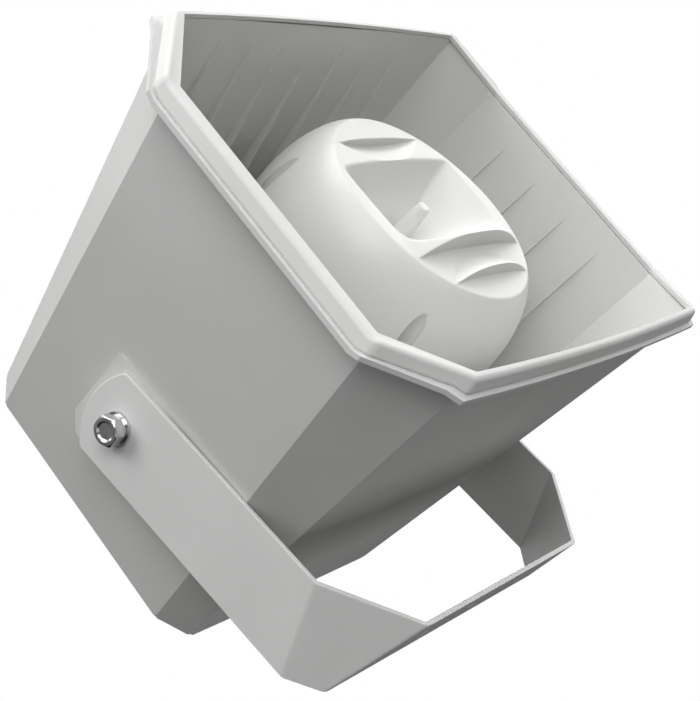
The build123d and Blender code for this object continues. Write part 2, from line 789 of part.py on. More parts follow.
def make_transformer_core():
    core = Box(core_width, core_height, core_thickness, align=(Align.CENTER, Align.CENTER, Align.MIN))
    for side in (-1, 1):
        core -= Pos(side * (core_leg / 2 + core_window / 2), 0, -1) * Box(
            core_window, core_height - 2 * core_yoke, core_thickness + 2,
            align=(Align.CENTER, Align.CENTER, Align.MIN))
    core = Pos(transformer_x, 0, core_back) * core
    for x, y in transformer_screw_points:
        core -= disc(screw_diameter / 2 + 0.2, core_back - 1, core_back + core_thickness + 1, x, y)
    return core


def make_transformer_winding():
    width = core_leg + 2 * core_window - 1
    height = core_height - 2 * core_yoke - 1
    block = Box(width, height, winding_depth)
    block = fillet(block.edges().filter_by(Axis.Y), 4.0)
    block -= Box(core_leg + 0.6, height + 2, core_thickness + 0.6)
    return Pos(transformer_x, 0, core_back + core_thickness / 2) * block


def make_transformer_screws():
    return [screw(x, y, core_back + core_thickness, core_thickness + post_height, False)
            for x, y in transformer_screw_points]


def make_crossover_board():
    board = Pos(-transformer_x, 0, board_back) * Box(
        board_width, board_height, board_thickness, align=(Align.CENTER, Align.CENTER, Align.MIN))
    for x, y in board_post_points:
        board -= disc(screw_diameter / 2 + 0.2, board_back - 1, board_back + 5, x, y)
    return board


def make_board_screws():
    return [screw(x, y, board_back + board_thickness, board_thickness + board_post_height, False)
            for x, y in board_post_points]


def make_crossover_capacitor():
    body = Rot(90, 0, 0) * Cylinder(capacitor_radius, capacitor_length)
    return Pos(-transformer_x - 14, 0, board_back + board_thickness + capacitor_radius) * body


def make_crossover_coil():
    low = board_back + board_thickness
    x = -transformer_x + 12
    return ring(6.0, 3.0, low, low + 14, x, 0) + ring(13.0, 5.0, low, low + 2, x, 0) + ring(
        12.0, 5.0, low + 2, low + 12, x, 0) + ring(13.0, 5.0, low + 12, low + 14, x, 0)


def make_terminal_block():
    block = Pos(0, terminal_rise, cover_front) * Box(
        terminal_width, 16, 13, align=(Align.CENTER, Align.CENTER, Align.MIN))
    for index in range(3):
        x = (index - 1) * terminal_width / 3
        block -= disc(3.2, cover_front + 7, cover_front + 14, x, terminal_rise + 2.5)
        block -= Pos(x, terminal_rise - 8, cover_front + 5) * Box(6, 12, 6)
    return block


def hexagon(flats, z_low, z_high):
    return extrude(Pos(0, 0, z_low) * RegularPolygon(flats / 2, 6, major_radius=False), amount=z_high - z_low)


def make_cable_gland():
    """Gland body and its domed sealing nut, open for a cable."""
    outside = -body_depth + cover_recess
    shank = gland_diameter / 2 - 2.1
    tip = outside - gland_length
    body = disc(shank, outside - 1, cover_front + 12)
    body += hexagon(gland_flats, outside - 5, outside)
    body += turned((0, outside - 5), (gland_diameter / 2, outside - 5), (gland_diameter / 2, tip + 7),
                   (gland_diameter / 2 - 1.5, tip + 2), (gland_diameter / 2 - 4, tip), (0, tip))
    body -= disc(gland_bore / 2, tip - 1, cover_front + 13)
    return Pos(0, -gland_drop, 0) * body


def make_gland_nut():
    low = cover_front + 3
    nut = hexagon(gland_flats, low, low + 4) - disc(gland_diameter / 2 - 2, low - 1, low + 5)
    return Pos(0, -gland_drop, 0) * nut


# Pivot hardware, drawn on the +x side and mirrored

arm_outer = arm_inner + sheet
washer_outer = arm_outer + flat_washer_thickness
head_inner = washer_outer + spring_washer_thickness


def make_pivot_bolt():
    head = RegularPolygon(bolt_head_flats / 2, 6, major_radius=False)
    head = extrude(head, amount=bolt_head_height)
    corner = bolt_head_flats / 2 * 2 / sqrt(3)
    head &= turned((0, 0), (corner, 0), (corner, bolt_head_height - 1.2),
                   (bolt_head_flats / 2 - 0.4, bolt_head_height), (0, bolt_head_height))
    head -= turned((0, bolt_head_height - 0.9), (bolt_head_flats / 2 - 3.6, bolt_head_height - 0.9),
                   (bolt_head_flats / 2 - 2.2, bolt_head_height + 0.1), (0, bolt_head_height + 0.1))
    shank = disc(bolt_diameter / 2, -bolt_length, 1)
    bolt = chamfer(shank.edges().sort_by(Axis.Z)[0], 1.0) + head
    return Pos(head_inner, 0, pivot_z) * Rot(0, 90, 0) * bolt


def make_flat_washer():
    return across(flat_washer_diameter / 2, arm_outer, washer_outer, 0, pivot_z) - across(
        bolt_diameter / 2 + 0.25, arm_outer - 1, washer_outer + 1, 0, pivot_z)


def make_spring_washer():
    washer = across(spring_washer_diameter / 2, washer_outer, head_inner, 0, pivot_z) - across(
        bolt_diameter / 2 + 0.2, washer_outer - 1, head_inner + 1, 0, pivot_z)
    slit = Pos((washer_outer + head_inner) / 2, spring_washer_diameter / 2, pivot_z) * Rot(0, 0, 25) * Box(
        2 * spring_washer_thickness, spring_washer_diameter, 1.4)
    return washer - slit


def make_pivot_insert():
    low = pad_face - insert_length
    return across(insert_diameter / 2 - 0.02, low, pad_face, 0, pivot_z) - across(
        bolt_diameter / 2 + 0.05, low - 1, pad_face + 1, 0, pivot_z)


# Bracket: one strip of sheet, folded twice at each side. The folds run askew, so the base stands
# square while the arms lean back to the pivot.


def make_bracket():
    lean = atan(pivot_setback / pivot_height)
    toward_front = Vector(0, -cos(lean), sin(lean))
    down = Vector(0, -sin(lean), -cos(lean))
    pivot = Vector(0, pivot_setback, pivot_height)
    front = pivot + toward_front * (arm_width / 2)
    rear = pivot - toward_front * (arm_width / 2)
    front_bend = front + down * front_bend_drop + Vector(arm_outer, 0, 0)
    rear_bend = rear + down * rear_bend_drop + Vector(arm_outer, 0, 0)
    front_foot = Vector(base_front_half, -base_depth / 2, 0)
    normal = (rear_bend - front_bend).cross(front_foot - front_bend).normalized()
    if normal.X < 0:
        normal = -normal

    def folded(inset, radius):
        """Room inside the folded strip, drawn in by inset, with its folds rounded."""
        half = arm_outer - inset
        low = inset
        upwards = (Align.CENTER, Align.CENTER, Align.MIN)
        room = Pos(0, 0, low) * Box(2 * half, 3 * reach, 2 * reach, align=upwards)
        strip = Plane(origin=pivot, x_dir=toward_front, z_dir=(1, 0, 0))
        for side in (1, -1):
            face_normal = Vector(normal.X * side, normal.Y, normal.Z)
            point = Vector(front_bend.X * side, front_bend.Y, front_bend.Z) - face_normal * inset
            keep = Box(3 * reach, 3 * reach, 2 * reach, align=(Align.CENTER, Align.CENTER, Align.MAX))
            room &= Plane(origin=point, z_dir=face_normal) * keep
        room &= strip * Box(arm_width, 4 * reach, 3 * reach)

        def is_fold(edge):
            offsets = [(vertex.center() - pivot).dot(toward_front) for vertex in edge.vertices()]
            return edge.center().Z < pivot_height / 2 and abs(offsets[0] - offsets[-1]) > arm_width / 2

        return fillet([edge for edge in room.edges() if is_fold(edge)], radius)

    plate = folded(0, bend_radius + sheet) - folded(sheet, bend_radius)
    top = -arm_end_reach
    shoulder = top + arm_end_radius - sqrt(arm_end_radius ** 2 - (arm_width / 2) ** 2)
    outline = make_face(Wire([
        Line((-arm_width / 2, reach), (-arm_width / 2, shoulder)),
        ThreePointArc((-arm_width / 2, shoulder), (0, top), (arm_width / 2, shoulder)),
        Line((arm_width / 2, shoulder), (arm_width / 2, reach)),
        Line((arm_width / 2, reach), (-arm_width / 2, reach))]))
    outline = fillet(outline.vertices().sort_by(Axis.Y)[:2], arm_corner_radius)
    outline = extrude(outline, amount=reach, both=True)
    plate &= Plane(origin=pivot, x_dir=toward_front, z_dir=(1, 0, 0)) * outline
    plate -= across(bolt_hole / 2, -reach / 2, reach / 2, pivot_setback, pivot_height)
    for index in range(3):
        plate -= disc(base_hole / 2, -1, sheet + 1, (index - 1) * base_hole_pitch, 0)
    return plate


def write(name, shape, place):
    """Export one node; a list becomes a group of separate solids."""
    shapes = shape if isinstance(shape, list) else [shape]
    solids = [place * solid for item in shapes for solid in item.solids()]
    body = solids[0] if len(solids) == 1 else Compound(children=solids)
    export_step(body, "parts/" + name + ".step")


hang = Pos(0, pivot_setback, pivot_height) * Rot(90 - horn_tilt, 0, 0) * Pos(0, 0, pivot_behind_mouth)

horn_parts = {
    "horn_shell": make_horn_shell,
    "front_frame": make_front_frame,
    "rear_cover": make_rear_cover,
    "rear_gasket": make_rear_gasket,
    "rear_cover_screws": make_rear_cover_screws,
    "baffle": make_baffle,
    "baffle_screws": make_baffle_screws,
    "dome": make_dome,
    "dome_rear_cap": make_dome_rear_cap,
    "dome_carrier": make_dome_carrier,
    "dome_screws": make_dome_screws,
    "carrier_screws": make_carrier_screws,
    "hf_adapter": make_hf_adapter,
    "hf_screws": make_hf_screws,
    "hf_top_plate": make_hf_top_plate,
    "hf_magnet": make_hf_magnet,
    "hf_yoke": make_hf_yoke,
    "hf_diaphragm": make_hf_diaphragm,
    "hf_surround": make_hf_surround,
    "hf_voice_coil": make_hf_voice_coil,
    "woofer_gasket": make_woofer_gasket,
    "woofer_basket": make_woofer_basket,
    "woofer_screws": make_woofer_screws,
    "woofer_top_plate": make_woofer_top_plate,
    "woofer_magnet": make_woofer_magnet,
    "woofer_yoke": make_woofer_yoke,
    "woofer_voice_coil": make_woofer_voice_coil,
    "woofer_cone": make_woofer_cone,
    "woofer_dust_cap": make_woofer_dust_cap,
    "woofer_surround": make_woofer_surround,
    "woofer_spider": make_woofer_spider,
    "transformer_core": make_transformer_core,
    "transformer_winding": make_transformer_winding,
    "transformer_screws": make_transformer_screws,
    "crossover_board": make_crossover_board,
    "board_screws": make_board_screws,
    "crossover_capacitor": make_crossover_capacitor,
    "crossover_coil": make_crossover_coil,
    "terminal_block": make_terminal_block,
    "cable_gland": make_cable_gland,
    "gland_nut": make_gland_nut,
    "pivot_bolts": lambda: both_sides(make_pivot_bolt()),
    "flat_washers": lambda: both_sides(make_flat_washer()),
    "spring_washers": lambda: both_sides(make_spring_washer()),
    "pivot_inserts": lambda: both_sides(make_pivot_insert()),
}

for name, make in horn_parts.items():
    write(name, make(), hang)
write("bracket", make_bracket(), Pos(0, 0, 0))
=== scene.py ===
import math

import bmesh
import bpy
from mathutils import Matrix, Vector


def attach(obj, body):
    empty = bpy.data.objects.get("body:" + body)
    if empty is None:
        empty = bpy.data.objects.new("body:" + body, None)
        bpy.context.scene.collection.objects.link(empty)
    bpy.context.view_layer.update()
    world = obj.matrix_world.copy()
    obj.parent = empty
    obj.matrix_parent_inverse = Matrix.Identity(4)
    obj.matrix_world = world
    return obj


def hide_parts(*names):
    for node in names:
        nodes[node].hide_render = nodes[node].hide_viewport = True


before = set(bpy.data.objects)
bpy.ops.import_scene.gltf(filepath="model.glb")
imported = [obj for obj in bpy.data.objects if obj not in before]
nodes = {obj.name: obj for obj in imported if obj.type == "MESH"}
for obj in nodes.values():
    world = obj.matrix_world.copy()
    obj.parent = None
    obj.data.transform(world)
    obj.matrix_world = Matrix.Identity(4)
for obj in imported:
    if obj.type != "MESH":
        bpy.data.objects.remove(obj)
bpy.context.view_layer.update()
bpy.ops.object.select_all(action="DESELECT")
scene = bpy.context.scene

# Housing: one large injection moulding of light grey ABS, eight-sided and tapered, with ribs inside
# its walls, a flange at the mouth and a flat pad round each pivot. It hangs in the bracket on two
# bolts. Its long corners come softly out of the mould, and its ribs come out sharp.
millimetre = 0.001
horn_tilt = math.radians(6.5)
pivot_place = Vector((0, 0.0445, 0.187))
mouth_before_pivot = 0.186
horn_axes = Matrix.Translation(pivot_place) @ Matrix.Rotation(math.radians(90) - horn_tilt, 4, "X")
horn_axes = horn_axes @ Matrix.Translation((0, 0, mouth_before_pivot))
to_horn = horn_axes.inverted()
same_place = 0.01 * millimetre
smooth_below = 32


def on_horn(place):
    """A place in the scene, in millimetres about the mouth: x across, y up, z out of the mouth."""
    return to_horn @ place / millimetre


def take_form(node, name, flatness=0.15):
    """New piece in edit mode with a solid's own form, its loose triangles joined, and its faces made
    whole where they turn by less than flatness degrees."""
    piece = bpy.data.objects.new(name, nodes[node].data.copy())
    scene.collection.objects.link(piece)
    bpy.ops.object.select_all(action="DESELECT")
    bpy.context.view_layer.objects.active = piece
    piece.select_set(True)
    bpy.ops.object.mode_set(mode="EDIT")
    bpy.ops.mesh.customdata_custom_splitnormals_clear()
    bpy.ops.mesh.select_all(action="SELECT")
    bpy.ops.mesh.remove_doubles(threshold=same_place)
    bpy.ops.mesh.dissolve_limited(angle_limit=math.radians(flatness))
    return piece


def round_edges(piece, radius, segments, wanted, sharp=25, blunt=180):
    """Rounds those edges of a piece in edit mode that turn by sharp to blunt degrees and that
    wanted(start, end) picks by their ends on the horn."""
    bpy.ops.mesh.select_mode(type="EDGE")
    bpy.ops.mesh.select_all(action="DESELECT")
    form = bmesh.from_edit_mesh(piece.data)
    for edge in form.edges:
        start, end = [on_horn(vertex.co) for vertex in edge.verts]
        turns = edge.is_manifold and sharp < math.degrees(edge.calc_face_angle()) < blunt
        if turns and wanted(start, end):
            edge.select_set(True)
    bmesh.update_edit_mesh(piece.data)
    bpy.ops.mesh.bevel(offset=radius * millimetre, segments=segments, clamp_overlap=False)


def finish_piece(piece, body, slot, material, *replaced):
    """Leaves edit mode, shades the flats flat and the rounds round, and hands the piece over."""
    bpy.ops.object.mode_set(mode="OBJECT")
    bpy.ops.object.shade_smooth_by_angle(angle=math.radians(smooth_below))
    piece.modifiers.new("normals", "WEIGHTED_NORMAL").keep_sharp = True
    bpy.ops.object.modifier_apply(modifier="normals")
    piece.data.materials.clear()
    piece.data.materials.append(material)
    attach(piece, body)
    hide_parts(*replaced)
    piece.select_set(False)


def linear(hexcode):
    """Linear colour of an sRGB hex code."""
    parts = [int(hexcode[index:index + 2], 16) / 255 for index in (0, 2, 4)]
    return (*[part / 12.92 if part <= 0.04045 else ((part + 0.055) / 1.055) ** 2.4 for part in parts], 1)


def add_node(tree, kind, inputs=None, **settings):
    """Adds a shader node; each input takes a value, or the socket of another node to link."""
    node = tree.nodes.new(kind)
    for name, value in settings.items():
        setattr(node, name, value)
    for name, value in (inputs or {}).items():
        if isinstance(value, bpy.types.NodeSocket):
            tree.links.new(value, node.inputs[name])
        else:
            node.inputs[name].default_value = value
    return node


def surface(name, dark, light, roughness, drift, grain, depth, metallic=0.0, specular=0.5, spread=0.06):
    """Material whose tone drifts between two colours over drift mm, with a grain of the given size
    and depth in mm that also varies its gloss by spread."""
    material = bpy.data.materials.new(name)
    material.use_nodes = True
    tree = material.node_tree
    shader = tree.nodes["Principled BSDF"]
    shader.inputs["Metallic"].default_value = metallic
    shader.inputs["Specular IOR Level"].default_value = specular
    place = add_node(tree, "ShaderNodeTexCoord").outputs["Object"]
    slow = add_node(tree, "ShaderNodeTexNoise", {"Vector": place, "Scale": 1000 / drift, "Detail": 3.0})
    tones = add_node(tree, "ShaderNodeValToRGB", {"Fac": slow.outputs["Fac"]})
    for stop, position, colour in zip(tones.color_ramp.elements, (0.35, 0.65), (dark, light)):
        stop.position = position
        stop.color = linear(colour)
    fine = add_node(tree, "ShaderNodeTexNoise", {"Vector": place, "Scale": 1000 / grain, "Detail": 3.0})
    gloss = add_node(tree, "ShaderNodeMapRange", {
        "Value": fine.outputs["Fac"], "To Min": roughness - spread, "To Max": roughness + spread})
    relief = add_node(tree, "ShaderNodeBump", {
        "Height": fine.outputs["Fac"], "Strength": 0.6, "Distance": depth * millimetre})
    tree.links.new(tones.outputs["Color"], shader.inputs["Base Color"])
    tree.links.new(gloss.outputs["Result"], shader.inputs["Roughness"])
    tree.links.new(relief.outputs["Normal"], shader.inputs["Normal"])
    return material


# ABS from a spark-eroded mould: satin and almost even in tone, so each wall shows one soft gradient.
# The real grain is near 0.1 mm, too fine to show, so it is drawn at 0.9 mm.
moulded_abs = surface("moulded_abs", "c7c7c5", "cccccb", 0.58, 110.0, 0.9, 0.03, specular=0.32)

body_depth = 275.0
corner_length = 60.0
corner_radius = 2.4
corner_turn = 62
shell_flatness = 0.01
back_edge_radius = 0.5
back_edge_length = 2.0


def is_long_corner(start, end):
    """Edges that run a long way back along the housing."""
    return abs(start.z - end.z) > corner_length


def is_back_edge(start, end):
    """Edges of the rear rim."""
    return max(start.z, end.z) < 0.5 - body_depth and (start - end).length > back_edge_length


shell = take_form("horn_shell", "housing_shell", shell_flatness)
round_edges(shell, corner_radius, 4, is_long_corner, blunt=corner_turn)
round_edges(shell, back_edge_radius, 3, is_back_edge)
finish_piece(shell, "horn", "housing_plastic", moulded_abs, "horn_shell")

# Front frame: a separate moulding in the same ABS that hooks over the flange. Its front edge and
# its eight corners are well rounded, so they catch a soft line of light. The mouth's own outline,
# where it meets the housing's inner walls, is only broken a little.
band_foot = -11.5
band_radius = 2.5
outline_radius = 0.4
outline_across = 177.5
outline_up = 129
chamfer_across, chamfer_up, chamfer_reach = 0.812, 0.584, 194


def is_on_outline(place):
    """Whether a place is on the mouth's own outline and not on the band round it."""
    across, up = abs(place.x), abs(place.y)
    inside_chamfer = chamfer_across * across + chamfer_up * up < chamfer_reach
    return across < outline_across and up < outline_up and inside_chamfer


def is_band_edge(start, end):
    """Edges of the band, down to its foot."""
    return max(start.z, end.z) > band_foot and not (is_on_outline(start) or is_on_outline(end))


def is_outline_edge(start, end):
    """Edges of the mouth's own outline."""
    return min(start.z, end.z) > band_foot and is_on_outline(start) and is_on_outline(end)


rim = take_form("front_frame", "mouth_rim")
round_edges(rim, band_radius, 5, is_band_edge)
round_edges(rim, outline_radius, 2, is_outline_edge)
finish_piece(rim, "horn", "housing_plastic", moulded_abs, "front_frame")

# Centre dome: one ABS moulding with a flat face whose rim rolls over into the side. The face carries
# the small horn's flared mouth with a post in it, two scale-shaped ridges and a scoop. Up its side
# run four flutes, down which the screws into its carrier go in from the front.

# ABS from a polished mould: the whitest part, and smooth enough that its ridges draw bright lines
polished_abs = surface("polished_abs", "d2d2d0", "d6d6d4", 0.4, 90.0, 0.9, 0.015, specular=0.45)

# The face, its rolled rim, and the side's radius and height at each ring, in mm on the horn
face_z = -13.8
grid_radius = 73.37
rim_start = 71.4
rim_round = 3.0
side_rings = ((75.4, -16.35), (78.6, -20.4), (81.8, -25.8), (84.2, -31.2), (86.2, -36.6), (87.7, -42.0),
              (88.9, -47.4), (89.7, -52.8), (90.3, -58.2), (90.6, -63.6), (90.8, -69.6), (90.9, -76.0))
dome_foot = -76.0
inner_radius = 77.0
seat_z = -56.8

# The three walls across the face: where each stands, how wide and high it is, and how fast it runs
# out. Each is bowed in plan by the third value, and the fourth is how far that reaches up and down.
ridge_line, ridge_half, ridge_height, ridge_slope = -35.4, 61.5, 14.6, 0.06
lower_line, lower_half, lower_height, lower_slope = -56.4, 44.5, 9.6, 0.55
scoop_line, scoop_half, scoop_depth, scoop_length = 53.6, 45.0, 7.5, 16
wall_bows = ((ridge_line, ridge_half, 2.4, 12.0), (lower_line, lower_half, 1.8, 7.0),
             (scoop_line, scoop_half, 2.4, 9.0))
arch_power = 2.3
edge_round = 0.7
foot_fillet = 1.1
run_out_round = 0.5
run_out_sink = 0.12

# The small horn's mouth and throat, and the post
horn_half_width = ridge_half
horn_top = 35.5
horn_top_bow = 3.0
horn_bottom = 34.0
bottom_rise = 55.0
throat_half_width = 8.0
throat_half_height = 4.0
throat_z = face_z - 40.0
side_flow = 14.0
top_corner_round = 2.4
throat_round = 2.0
mouth_edge_round = 0.7
post_y = 4.0
post_top = face_z - 4.4
post_radius = 4.2
post_draft = 0.085
post_end_round = 1.4
post_foot_round = 0.6

# The grid that the face is drawn on, with rows close together at each wall
dome_rows = 190
dome_columns = 236
wall_band = 2.2
wall_steps = (-1.6, -1.1, -0.7, -0.4, -0.15, 0.0, 0.02, 0.1, 0.25, 0.5, 0.8, 1.2, 1.7)
rim_hold = 8


def soft_max(first, second, width):
    """The larger of two heights, with a fillet of about width where they meet."""
    return (first + second + math.hypot(first - second, width)) / 2


def edge_drop(distance, radius):
    """Drop of a rounded edge, or rise of a fillet, at a distance from its wall."""
    rest = radius - min(distance, radius)
    return radius - math.sqrt(radius * radius - rest * rest)


def arch(x, half, height):
    """Height of a long full arch over x."""
    return height * max(0.0, 1 - abs(x / half) ** arch_power)


def wall_bow(x, row):
    """How far a row of the grid is pushed up, so that the rows follow the bowed walls."""
    push = 0.0
    for line, half, bow, reach in wall_bows:
        push += arch(x, half, bow) * math.exp(-((row - line) / reach) ** 2)
    return push


def scale_ridge(x, above, half, height, slope):
    """Ridge whose wall stands up at above = 0 and which runs out upwards."""
    crest = arch(x, half, height)
    if above < 0:
        return min(edge_drop(-above, foot_fillet), crest / 2)
    top = soft_max(crest - slope * above, 0.0, run_out_round) - run_out_sink
    return max(0.0, top - min(edge_drop(above, edge_round), crest / 2))


def scoop(x, below):
    """Depth of the scoop that runs out downwards from its wall at below = 0."""
    depth = arch(x, scoop_half, scoop_depth)
    if below < 0:
        return min(edge_drop(-below, edge_round), depth / 2)
    floor = soft_max(depth - scoop_depth / scoop_length * below, 0.0, run_out_round) - run_out_sink
    return max(0.0, floor - min(edge_drop(below, foot_fillet), depth / 2))


def small_mouth(x, y):
    """Surface of the small horn's mouth: flat upper wall, and sides that flow into the lower wall."""
    depth = face_z - throat_z
    side = depth * (abs(x) - throat_half_width) / (horn_half_width - throat_half_width)
    bow = horn_top_bow * (1 - min(1.0, (x / horn_half_width) ** 2))
    upper = depth * (y - throat_half_height) / (horn_top + bow - throat_half_height)
    lower = bottom_rise * (-y - throat_half_height) / (horn_bottom - throat_half_height)
    flow = soft_max(side, lower, side_flow)
    return throat_z + soft_max(soft_max(flow, upper, top_corner_round), 0.0, throat_round)


def post(x, y):
    """Tapered post in the throat, with a rounded end."""
    away = math.hypot(x, y - post_y)
    side = post_top - max(0.0, away - post_radius) / post_draft
    return side - edge_drop(max(0.0, post_radius - away), post_end_round)


def dome_height(x, y, row):
    """Height of the face at a place, with its walls standing on their rows of the grid."""
    height = face_z - scoop(x, scoop_line - row)
    if row < 0:
        height += scale_ridge(x, row - ridge_line, ridge_half, ridge_height, ridge_slope)
    height += scale_ridge(x, row - lower_line, lower_half, lower_height, lower_slope)
    if row > ridge_line:
        mouth = soft_max(small_mouth(x, y), post(x, y), post_foot_round)
        height = -soft_max(-height, -mouth, mouth_edge_round)
    over = max(0.0, math.hypot(x, y) - rim_start)
    return height - rim_round + math.sqrt(rim_round ** 2 - over ** 2)


walls = (ridge_line, lower_line, scoop_line)
row_heights = [grid_radius * math.sin(math.pi * (row / dome_rows - 0.5)) for row in range(dome_rows + 1)]
row_heights = [y for y in row_heights if all(abs(y - line) > wall_band for line in walls)]
row_heights += [line + step for line in walls for step in wall_steps]
row_heights.sort()
bpy.ops.mesh.primitive_grid_add(x_subdivisions=dome_columns, y_subdivisions=len(row_heights) - 1, size=2)
dome = bpy.context.object
dome.name = "centre_dome"
bpy.ops.object.mode_set(mode="EDIT")
form = bmesh.from_edit_mesh(dome.data)
for vertex in form.verts:
    row = row_heights[round((vertex.co.y + 1) / 2 * (len(row_heights) - 1))]
    half_width = math.sqrt(max(0.0, grid_radius ** 2 - row * row))
    x = vertex.co.x * half_width
    y = row + wall_bow(x, row) * (1 - vertex.co.x ** rim_hold)
    vertex.co = (x, y, dome_height(x, y, row))
bmesh.update_edit_mesh(dome.data)
bpy.ops.mesh.remove_doubles(threshold=0.001)

# Its side is drawn down ring by ring from the face's rim, then in under the foot and up inside
bpy.ops.mesh.select_mode(type="EDGE")
bpy.ops.mesh.select_all(action="DESELECT")
form = bmesh.from_edit_mesh(dome.data)
for edge in form.edges:
    edge.select_set(edge.is_boundary)
bmesh.update_edit_mesh(dome.data)
for radius, z in side_rings + ((inner_radius, dome_foot), (inner_radius, seat_z)):
    bpy.ops.mesh.extrude_edges_move()
    form = bmesh.from_edit_mesh(dome.data)
    for vertex in form.verts:
        if vertex.select:
            flat = vertex.co.xy.normalized() * radius
            vertex.co = (flat.x, flat.y, z)
    bmesh.update_edit_mesh(dome.data)
bpy.ops.mesh.edge_face_add()
bpy.ops.mesh.select_all(action="SELECT")
bpy.ops.mesh.normals_make_consistent(inside=False)
bpy.ops.object.mode_set(mode="OBJECT")

# Four flutes are cut with leaning rods, so that they run out in a point towards the face
flute_radius = 5.0
flute_foot_axis = 86.5
flute_lean = 3.5 / 42.7
rod_length = 70
rod_middle = -46
diagonal = math.sqrt(0.5)
cutters = []
for x, y in [(way_x * diagonal, way_y * diagonal) for way_x in (-1, 1) for way_y in (-1, 1)]:
    bpy.ops.mesh.primitive_cylinder_add(vertices=64, radius=flute_radius, depth=rod_length,
                                        location=(0, 0, rod_middle))
    rod = bpy.context.object
    bpy.ops.object.transform_apply()
    bpy.ops.object.mode_set(mode="EDIT")
    form = bmesh.from_edit_mesh(rod.data)
    for vertex in form.verts:
        away = flute_foot_axis + flute_lean * (vertex.co.z - dome_foot)
        vertex.co.x += x * away
        vertex.co.y += y * away
    bmesh.update_edit_mesh(rod.data)
    bpy.ops.object.mode_set(mode="OBJECT")
    cutters.append(rod)
for rod in cutters:
    bpy.ops.object.select_all(action="DESELECT")
    bpy.context.view_layer.objects.active = dome
    dome.select_set(True)
    cut = dome.modifiers.new("cut", "BOOLEAN")
    cut.operation = "DIFFERENCE"
    cut.solver = "EXACT"
    cut.object = rod
    bpy.ops.object.modifier_apply(modifier="cut")
    bpy.data.objects.remove(rod)
dome.data.transform(horn_axes @ Matrix.Scale(millimetre, 4))
bpy.ops.object.mode_set(mode="EDIT")
finish_piece(dome, "horn", "dome_plastic", polished_abs, "dome")

# Other mouldings: the rear cover and the dome's rear cap match what they close, and the baffle, the
# dome's carrier and the driver's adapter are hidden. All are moulded ABS, held by screws, and shown
# as the plain solids.


def give(material, *names):
    """Puts a material on solids that are shown as they are."""
    for name in names:
        mesh = nodes[name].data
        mesh.materials.clear()
        mesh.materials.append(material)


# ABS from a plain mould: a little darker and duller than the mouldings that show
dull_abs = surface("dull_abs", "bebebc", "c4c4c2", 0.55, 110.0, 1.0, 0.03, specular=0.35)
give(moulded_abs, "rear_cover")
give(polished_abs, "dome_rear_cap")
give(dull_abs, "baffle", "dome_carrier", "hf_adapter")

# Cable gland: a bought part that is screwed through the rear cover and held by a nut inside. Its
# body and nut are moulded from glass-filled nylon.

# Glass-filled nylon: mid grey, satin and a little coarse
moulded_nylon = surface("moulded_nylon", "6c6d6f", "78797b", 0.5, 30.0, 0.8, 0.03, specular=0.4)
give(moulded_nylon, "cable_gland", "gland_nut")

# Drivers: a woofer behind the baffle and a tweeter in the dome. Each has a ferrite magnet between
# plated steel plates and a copper coil, and moves a cone or a diaphragm that a surround holds. The
# woofer's parts sit in a pressed basket, and its gasket seals it to the baffle.

# Sintered ferrite, ground flat: near black, dull and grainy
ground_ferrite = surface("ground_ferrite", "2a2a2c", "37373a", 0.7, 30.0, 1.1, 0.05, specular=0.3)
# Zinc plate on turned steel: grey metal with a soft sheen
zinc_plate = surface("zinc_plate", "a8a8a2", "bcbab2", 0.36, 25.0, 0.9, 0.01, metallic=1.0)
# Baked enamel on pressed steel: black with a clear highlight
black_enamel = surface("black_enamel", "141415", "1d1d1e", 0.35, 30.0, 1.0, 0.02)
# Pressed paper pulp: nearly black, fibrous, with hardly any shine
pressed_pulp = surface("pressed_pulp", "1b1b1a", "2a2a28", 0.85, 20.0, 1.2, 0.1, specular=0.2)
# Drawn plastic film: smooth amber with a sharp highlight
amber_film = surface("amber_film", "b58a44", "c79d55", 0.3, 20.0, 1.0, 0.01)
# Enamelled copper wire, closely wound: red metal that the turns break up every 0.4 mm
coil_copper = surface("coil_copper", "8e4a2a", "b8683c", 0.35, 4.0, 0.4, 0.05, metallic=1.0)
# Moulded rubber: black with a broad faint highlight
black_rubber = surface("black_rubber", "101011", "1a1a1b", 0.62, 25.0, 0.9, 0.03, specular=0.3)
# Resin-stiffened woven cotton: tan and rough, its weave about 0.7 mm
stiff_cloth = surface("stiff_cloth", "a07c3c", "b89048", 0.8, 15.0, 0.7, 0.08, specular=0.2)
give(ground_ferrite, "woofer_magnet", "hf_magnet")
give(zinc_plate, "woofer_top_plate", "woofer_yoke", "hf_top_plate", "hf_yoke")
give(black_enamel, "woofer_basket")
give(pressed_pulp, "woofer_cone", "woofer_dust_cap")
give(amber_film, "hf_diaphragm", "hf_surround")
give(coil_copper, "woofer_voice_coil", "hf_voice_coil", "crossover_coil")
give(black_rubber, "rear_gasket", "woofer_gasket", "woofer_surround")
give(stiff_cloth, "woofer_spider")

# Electrics, screwed to the inside of the rear cover: a transformer of stacked steel sheets with a
# taped winding, and the filter board, which carries a capacitor, a coil and the terminal block.

# Stacked core sheets: grey metal, streaked by the cut edges of the sheets
core_laminations = surface("core_laminations", "55565a", "7c7d80", 0.5, 6.0, 0.5, 0.05, metallic=1.0)
# Wound plastic tape: yellow and satin
winding_tape = surface("winding_tape", "c8a93a", "d9bd55", 0.45, 20.0, 1.5, 0.03)
# Solder mask on glass-fibre board: deep green and glossy
solder_mask = surface("solder_mask", "12452a", "1a5534", 0.3, 15.0, 1.0, 0.02)
# Shrunk plastic sleeve: dark blue and glossy
capacitor_sleeve = surface("capacitor_sleeve", "16203f", "202c52", 0.28, 20.0, 1.2, 0.01)
